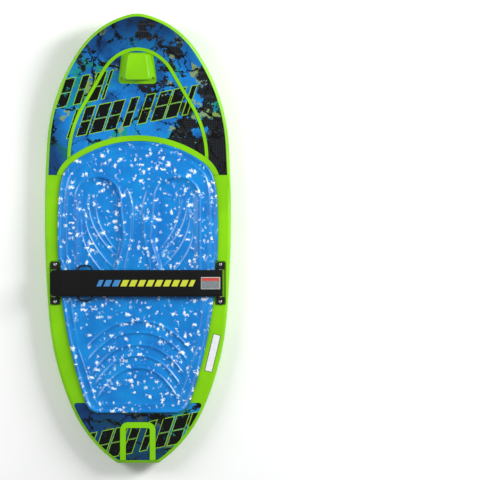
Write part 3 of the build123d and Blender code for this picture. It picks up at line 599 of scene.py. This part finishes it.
# flat bands for the strap, the tab and the lock strap
def makeBand(name, path, thickMm, width, material, body, crownMm=0.0, endRadiusMm=0.0,
             bothEnds=False,
             columns=36):
    # a closed band along (x, z) points on its underside, full across its width, with rounded selvedges
    points = [Vector((p[0], 0, p[1])) for p in path]
    gone = [0.0]
    for a, b in zip(points[:-1], points[1:]):
        gone.append(gone[-1] + (b - a).length)
    vertices, faces = [], []
    corner = endRadiusMm * mm
    for k, point in enumerate(points):
        ahead = points[min(k + 1, len(points) - 1)] - points[max(k - 1, 0)]
        up = Vector((-ahead.z, 0, ahead.x)).normalized()
        half = width / 2
        for distance in (gone[k], gone[-1] - gone[k] if bothEnds else corner):
            if distance < corner:
                half -= corner - math.sqrt(max(0, corner ** 2 - (corner - distance) ** 2))
        for layer in (-1, 1):
            for i in range(columns + 1):
                v = -1 + 2 * i / columns
                selvedge = math.sqrt(max(0.0, 1 - (max(0, abs(v) - 0.965) / 0.035) ** 2))
                rise = thickMm * (0.5 + 0.5 * layer * (0.25 + 0.75 * selvedge))
                if layer > 0:
                    rise += crownMm * (1 - v * v) * min(1, gone[k] / 0.02)
                place = point + up * rise * mm
                vertices.append((place.x, coverY + v * half, place.z))
    wide = columns + 1
    last = len(points) - 1
    for k in range(last):
        a, b = 2 * k * wide, 2 * (k + 1) * wide
        faces += [(a + i, a + i + 1, b + i + 1, b + i) for i in range(columns)]
        faces += [(a + wide + i, b + wide + i, b + wide + i + 1, a + wide + i + 1) for i in range(columns)]
        faces.append((a, b, b + wide, a + wide))
        faces.append((a + columns, a + columns + wide, b + columns + wide, b + columns))
    for i in range(columns):
        faces.append((i, i + wide, i + wide + 1, i + 1))
        end = 2 * last * wide + i
        faces.append((end, end + 1, end + 1 + wide, end + wide))
    return newPiece(name, vertices, faces, material, body)


def densePath(corners, step=0.003, soften=6):
    # even points along straight runs, softened where the runs meet
    points = []
    for (ax, az), (bx, bz) in zip(corners[:-1], corners[1:]):
        count = max(1, round(math.hypot(bx - ax, bz - az) / step))
        points += [(ax + (bx - ax) * t / count, az + (bz - az) * t / count) for t in range(count)]
    points.append(corners[-1])
    for _ in range(soften):
        inner = [tuple((p[c] + 2 * q[c] + r[c]) / 4 for c in (0, 1)) for p, q,
                 r in zip(points, points[1:], points[2:])]
        points = [points[0]] + inner + [points[-1]]
    return points


def arcRound(center, radius, startDegrees, endDegrees, steps=16):
    turns = [math.radians(startDegrees + (endDegrees - startDegrees) * k / steps) for k in range(steps + 1)]
    return [(center[0] + radius * math.cos(a), center[2] + radius * math.sin(a)) for a in turns]


coverLow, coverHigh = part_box("strap_cover")
webLow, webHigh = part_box("strap_webbing")
strap = {
    "width": coverHigh[1] - coverLow[1], "webMm": 1.9, "coverMm": 1.7, "crownMm": 1.2, "bendInset": 0.068,
    "endRadiusMm": 11, "labelMm": 0.5,
}
webTop = webHigh[2]
webBottom = webTop - strap["webMm"] * mm
bendX = rightPin[0] - strap["bendInset"]
loopTop = rightPin[2] + webHigh[0] - rightPin[0]
slope = (loopTop - webTop) / (rightPin[0] - bendX)


def makeStrap():
    # webbing: the long run, round the anchor pin, and a sewn return under it
    inner = loopTop - rightPin[2] - strap["webMm"] * mm
    run = densePath([(webLow[0], webBottom), (bendX, webBottom), (rightPin[0] - 0.001, loopTop - 0.0019)])
    back = [(rightPin[0] - b, webTop - 0.00385 + slope * (rightPin[0] - b - bendX))
            for b in (0.013, 0.022, 0.036)]
    path = run + arcRound(rightPin, inner, 88, -140) + densePath(back, 0.003, 0)
    webbing = makeBand("strapWebbing", path, strap["webMm"], strap["width"], webbingYarn, "thigh_strap",
                       endRadiusMm=strap["endRadiusMm"])
    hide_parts("strap_webbing")
    # cover: a sewn sleeve, slightly full in the middle
    path = densePath([(coverLow[0], webTop + 0.0001), (bendX, webTop + 0.0001),
                      (coverHigh[0], loopTop + 0.0001)])
    cover = makeBand("strapCover", path, strap["coverMm"], strap["width"], coverCloth, "thigh_strap",
                     crownMm=strap["crownMm"], endRadiusMm=strap["endRadiusMm"])
    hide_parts("strap_cover")
    # a soft block of neoprene under the webbing
    low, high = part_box("strap_padding")
    path = densePath([(low[0] + 0.0004, low[2]), (high[0] - 0.0004, low[2])])
    padding = makeBand("strapPadding", path, (high[2] - low[2]) / mm - 0.1, high[1] - low[1], neopreneFace,
                       "thigh_strap", endRadiusMm=9, bothEnds=True)
    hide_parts("strap_padding")
    # woven label sewn on the slope
    low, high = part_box("strap_label")
    stations = [low[0] + (high[0] - low[0]) * k / 20 for k in range(21)]
    path = [(x, webTop + (strap["coverMm"] + strap["crownMm"] * 0.85) * mm + slope * (x - bendX))
            for x in stations]
    label = makeBand("strapLabel", path, strap["labelMm"], high[1] - low[1], labelWeave, "thigh_strap",
                     crownMm=0.3)
    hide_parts("strap_label")


def makeLeftChain():
    # ring tab: one doubled length of webbing, an eye on the anchor pin and an eye on the ring's near bar
    low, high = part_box("ring_tab")
    thick = 1.7 * mm
    pinInner = leftPin[0] - low[0] - 0.0018
    barInner = high[2] - ringBar[2] - 0.0018
    width = high[1] - low[1]
    lean = (ringBar[2] + barInner - leftPin[2] - pinInner) / (ringBar[0] - leftPin[0])
    under = [(x, leftPin[2] + pinInner + lean * (x - leftPin[0]) - 0.0001)
             for x in (ringBar[0] - 0.012, leftPin[0] + 0.013)]
    path = [under[1]] + arcRound(leftPin, pinInner, -40, -270) + arcRound(ringBar, barInner, 90, -130)
    path += [under[0], (leftPin[0] + 0.014, under[1][1])]
    tab = makeBand("ringTab", densePath(path, 0.0015, 2), thick / mm, width, webbingYarn, "tab")
    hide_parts("ring_tab")
    # lock strap: an eye on the far bar, then two layers sewn flat
    low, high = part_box("lock_strap")
    top = high[2] - 0.0018
    path = [(high[0] - 0.002, top - 0.0001), (lockBar[0] + 0.013, top - 0.0001)]
    path += arcRound(lockBar, barInner, -50, -270) + [(high[0], top)]
    tongue = makeBand("lockStrap", densePath(path, 0.0015, 2), thick / mm, width, webbingYarn, "lock",
                      endRadiusMm=7, bothEnds=True)
    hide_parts("lock_strap")


makeStrap()
makeLeftChain()
print("straps made")


# stitching
thread = {"stitchMm": 3.4, "radiusMm": 0.42, "edgeInMm": 4.5, "barCount": 17, "barPitchMm": 2.9}


def coverTop(y):
    # the cover's upper face on its flat stretch
    v = (y - coverY) / (strap["width"] / 2)
    return webTop + (0.1 + strap["coverMm"] + strap["crownMm"] * (1 - v * v)) * mm


def stitchRow(vertices, faces, start, end):
    # short raised stitches with pointed ends, laid on the cover
    start, end = Vector(start), Vector(end)
    count = max(1, int((end - start).length / (thread["stitchMm"] * mm)))
    along = (end - start) / count
    side = Vector((along.y, -along.x, 0)).normalized()
    for k in range(count):
        middle = start + along * (k + 0.5)
        middle.z = coverTop(middle.y) - 0.0001
        base = len(vertices)
        vertices += [tuple(middle - along * 0.4), tuple(middle + along * 0.4)]
        for s in range(6):
            a = math.pi * s / 5
            spot = middle + (side * math.cos(a) + Vector((0, 0, math.sin(a)))) * thread["radiusMm"] * mm
            vertices.append(tuple(spot))
        for s in range(6):
            nextOne = base + 2 + (s + 1) % 6
            faces.append((base, base + 2 + s, nextOne))
            faces.append((base + 1, nextOne, base + 2 + s))


def makeStitching():
    vertices, faces = [], []
    edge = strap["width"] / 2 - thread["edgeInMm"] * mm
    for side in (-1, 1):
        y = coverY + side * edge
        stitchRow(vertices, faces, (coverLow[0] + 0.013, y, 0), (bendX - 0.006, y, 0))
    for k in range(thread["barCount"]):
        x = coverLow[0] + 0.035 + k * thread["barPitchMm"] * mm
        step = thread["barPitchMm"] * mm * (0.5 if k % 2 else -0.5)
        stitchRow(vertices, faces, (x, coverY - edge + 0.004, 0), (x + step, coverY + edge - 0.004, 0))
    newPiece("strapStitching", vertices, faces, threadYarn, "thigh_strap")


threadYarn = plainYarn("bondedNylonThread", "#17181A", "#303135", 0.7, 0.5)
makeStitching()
print("stitching made")


# floor, light and camera
studio = {
    "floor": "#F4F5F5", "worldStrength": 0.34, "keyWatts": 112, "fillWatts": 60,
    "cameraHeight": 9.0, "frameWidth": 1.3685, "cameraX": 0.2893, "cameraY": -0.003,
}


def makeFloor():
    mesh = bpy.data.meshes.new("studioFloor")
    mesh.from_pydata([(-20, -20, 0), (20, -20, 0), (20, 20, 0), (-20, 20, 0)], [], [(0, 1, 2, 3)])
    floor = bpy.data.objects.new("studioFloor", mesh)
    bpy.context.scene.collection.objects.link(floor)
    material, shader, place = newMaterial("studioPaper", Roughness=0.9)
    grain = addNode(material, "TexNoise", {"Vector": place, "Scale": 1 / (400 * mm)})
    color = addNode(material, "ValToRGB", {"Fac": grain.outputs["Fac"]},
                    ((0.3, studio["floor"]), (0.7, "#FBFBFB")))
    setMaterial(floor, finish(material, shader, color.outputs["Color"], grain.outputs["Fac"], 0.01))


def addLight(name, place, target, size, watts):
    data = bpy.data.lights.new(name, "AREA")
    data.shape = "RECTANGLE"
    data.size, data.size_y = size
    data.energy = watts
    light = bpy.data.objects.new(name, data)
    light.location = place
    light.rotation_euler = (Vector(target) - Vector(place)).to_track_quat("-Z", "Y").to_euler()
    bpy.context.scene.collection.objects.link(light)


def makeStudio():
    bpy.context.scene.view_settings.view_transform = "Standard"
    world = bpy.data.worlds.new("studioWorld")
    bpy.context.scene.world = world
    world.use_nodes = True
    background = world.node_tree.nodes["Background"]
    background.inputs["Color"].default_value = linear("#FFFFFF")
    background.inputs["Strength"].default_value = studio["worldStrength"]
    addLight("keyLight", (2.5, 1.1, 1.8), (0, 0, 0), (0.9, 2.0), studio["keyWatts"])
    addLight("fillLight", (-2.4, 0.9, 2.2), (0, 0, 0), (1.0, 2.4), studio["fillWatts"])
    data = bpy.data.cameras.new("studioCamera")
    data.sensor_width = 36
    data.lens = 36 * studio["cameraHeight"] / studio["frameWidth"]
    data.clip_end = 50
    camera = bpy.data.objects.new("studioCamera", data)
    camera.location = (studio["cameraX"], studio["cameraY"], studio["cameraHeight"])
    bpy.context.scene.collection.objects.link(camera)
    bpy.context.scene.camera = camera


makeFloor()
makeStudio()
print("studio made")
